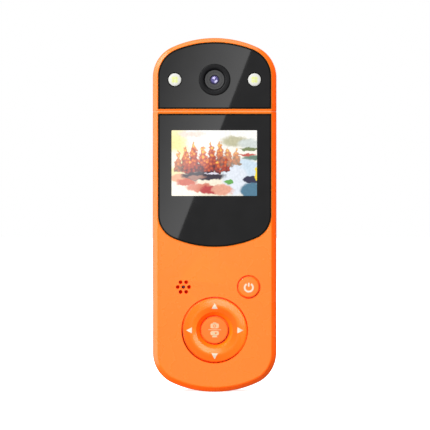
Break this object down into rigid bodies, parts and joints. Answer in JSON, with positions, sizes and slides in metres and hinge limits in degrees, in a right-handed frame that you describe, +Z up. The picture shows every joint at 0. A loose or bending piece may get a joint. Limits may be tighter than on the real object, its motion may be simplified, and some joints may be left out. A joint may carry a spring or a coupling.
{
  "type": "action camera",
  "caption": "Pocket clip-on action camera: a slim upright case with a colour display, round navigation keys and a lens head that turns, worn by a sprung back clip.",
  "frame": {"origin": "in the jaw of the back clip, midway between the back of the case and the middle of the clip's rubber pad, where the strap or pocket edge it is worn on sits", "axes": "+Z up the case towards the lens head, +Y out of the back through the clip, +X towards the side with the charging port (the right-hand side seen from the front); the lens and display face -Y"},
  "size_m": [0.032, 0.0191, 0.0916],
  "materials": {
    "orange": "smooth satin-gloss orange moulding",
    "window": "polished black window with a hard coat",
    "display": "lit colour display",
    "black_plastic": "fine spark-eroded black",
    "lens_glass": "coated optical glass with a blue-violet bloom",
    "lamp": "clear-topped white lamp",
    "steel": "bright stamped or turned steel",
    "dark_steel": "blackened steel",
    "circuit_board": "green solder resist",
    "chip": "moulded black package",
    "cell": "foil pouch",
    "rubber": "ribbed grip rubber",
    "flex": "amber polyimide film"
  },
  "bodies": {
    "case": {"body_front_shell": "orange", "body_back_shell": "orange", "screen_window": "window", "display_panel": "display", "display_frame": "steel", "display_flex": "flex", "main_board": "circuit_board", "processor_chip": "chip", "memory_chip": "chip", "microphone": "steel", "battery": "cell", "speaker": "dark_steel", "flex_connector": "black_plastic", "camera_flex": "flex", "usb_port_shell": "steel", "usb_port_tongue": "black_plastic", "card_socket": "steel", "reset_switch": "chip", "power_switch": "chip", "ok_switch": "chip", "nav_switch_right": "chip", "nav_switch_up": "chip", "nav_switch_left": "chip", "nav_switch_down": "chip", "case_screw_upper_left": "dark_steel", "case_screw_upper_right": "dark_steel", "case_screw_lower_left": "dark_steel", "case_screw_lower_right": "dark_steel", "wave_washer": "steel", "clip_bracket": "black_plastic", "clip_pin": "steel", "clip_spring": "steel"},
    "head": {"head_front_shell": "orange", "head_back_shell": "orange", "head_window": "window", "lens_bezel": "black_plastic", "lens_barrel": "dark_steel", "lens_glass": "lens_glass", "sensor_holder": "black_plastic", "image_sensor": "chip", "head_board": "circuit_board", "head_connector": "black_plastic", "lamp_left": "lamp", "lamp_right": "lamp", "head_screw_left": "dark_steel", "head_screw_right": "dark_steel", "swivel_hub": "black_plastic", "swivel_retaining_ring": "steel"},
    "nav_rocker": {"nav_rocker": "black_plastic"},
    "nav_ring": {"nav_ring": "orange"},
    "ok_button": {"ok_button": "orange"},
    "power_button": {"power_button": "orange"},
    "reset_button": {"reset_button": "black_plastic"},
    "memory_card": {"memory_card": "black_plastic"},
    "clip_arm": {"clip_arm": "black_plastic", "clip_pad": "rubber"}
  },
  "joints": [
    {"name": "head_swivel", "type": "hinge", "parent": "case", "child": "head", "pos_m": [0, -0.00795, 0.03655], "axis": [0, 0, 1], "range_deg": [0, 180]},
    {"name": "nav_tilt_lr", "type": "hinge", "parent": "case", "child": "nav_rocker", "pos_m": [0, -0.01195, -0.01994], "axis": [0, 0, 1], "range_deg": [-1.5, 1.5], "stiffness_Nm_per_rad": 0.2},
    {"name": "nav_tilt_ud", "type": "hinge", "parent": "nav_rocker", "child": "nav_ring", "pos_m": [0, -0.01195, -0.01994], "axis": [1, 0, 0], "range_deg": [-1.5, 1.5], "stiffness_Nm_per_rad": 0.2},
    {"name": "ok_press", "type": "slide", "parent": "case", "child": "ok_button", "axis": [0, 1, 0], "range_m": [0, 0.0003], "stiffness_N_per_m": 800},
    {"name": "power_press", "type": "slide", "parent": "case", "child": "power_button", "axis": [0, 1, 0], "range_m": [0, 0.0003], "stiffness_N_per_m": 800},
    {"name": "reset_press", "type": "slide", "parent": "case", "child": "reset_button", "axis": [1, 0, 0], "range_m": [0, 0.00025], "stiffness_N_per_m": 400},
    {"name": "card_slide", "type": "slide", "parent": "case", "child": "memory_card", "axis": [-1, 0, 0], "range_m": [0, 0.0155]},
    {"name": "clip_open", "type": "hinge", "parent": "case", "child": "clip_arm", "pos_m": [0, 0.00145, 0.022], "axis": [1, 0, 0], "range_deg": [0, 15], "stiffness_Nm_per_rad": 0.1, "springref_deg": -5.73}
  ]
}
